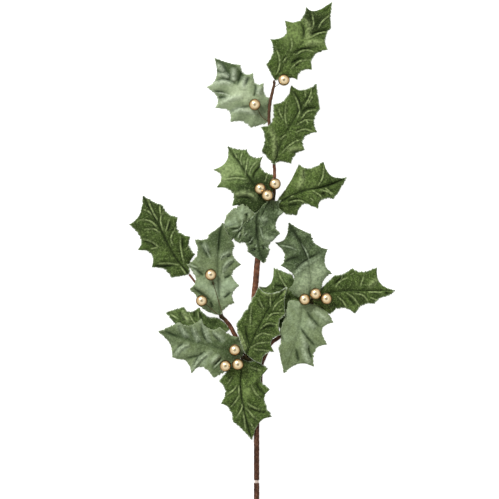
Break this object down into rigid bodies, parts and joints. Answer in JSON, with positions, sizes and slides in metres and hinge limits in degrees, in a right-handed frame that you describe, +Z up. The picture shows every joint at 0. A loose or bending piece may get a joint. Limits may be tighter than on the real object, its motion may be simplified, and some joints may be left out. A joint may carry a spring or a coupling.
{
  "type": "artificial holly sprig",
  "caption": "Artificial holly sprig lying flat: spiny velvet leaves in deep green and sage with clusters of gold bead berries on a branched, tape-wrapped wire stem with a cut end.",
  "frame": {"origin": "centre of the plan outline, on the surface that the sprig lies on", "axes": "+Y along the stem towards the crown leaf, +X to the right as the sprig is seen from above, +Z up from the surface towards the face of the leaves"},
  "size_m": [0.3321, 0.6273, 0.0326],
  "materials": {
    "green_velvet": "deep green crushed velvet with raised light veins",
    "sage_velvet": "pale sage velvet nap with soft pressed creases",
    "gold_bead": "pearly gold metallic coating",
    "brown_tape": "brown floral tape wound on wire",
    "pale_core": "pale cream plastic core"
  },
  "bodies": {
    "root": {"crown_leaf": "green_velvet", "upper_right_leaf": "green_velvet", "middle_left_leaf": "green_velvet", "middle_right_leaf": "green_velvet", "left_tip_leaf": "green_velvet", "left_under_leaf": "green_velvet", "lower_bottom_leaf": "green_velvet", "lower_right_leaf": "green_velvet", "right_back_leaf": "green_velvet", "right_tip_leaf": "green_velvet", "upper_left_leaf": "sage_velvet", "middle_drooping_leaf": "sage_velvet", "middle_low_leaf": "sage_velvet", "left_center_leaf": "sage_velvet", "lower_left_leaf": "sage_velvet", "right_upper_leaf": "sage_velvet", "right_lower_leaf": "sage_velvet", "bead_01": "gold_bead", "bead_02": "gold_bead", "bead_03": "gold_bead", "bead_04": "gold_bead", "bead_05": "gold_bead", "bead_06": "gold_bead", "bead_07": "gold_bead", "bead_08": "gold_bead", "bead_09": "gold_bead", "bead_10": "gold_bead", "bead_11": "gold_bead", "bead_12": "gold_bead", "bead_13": "gold_bead", "main_stem": "brown_tape", "left_branch": "brown_tape", "right_branch": "brown_tape", "foot_wrap": "brown_tape", "stem_core": "pale_core"}
  },
  "joints": []
}
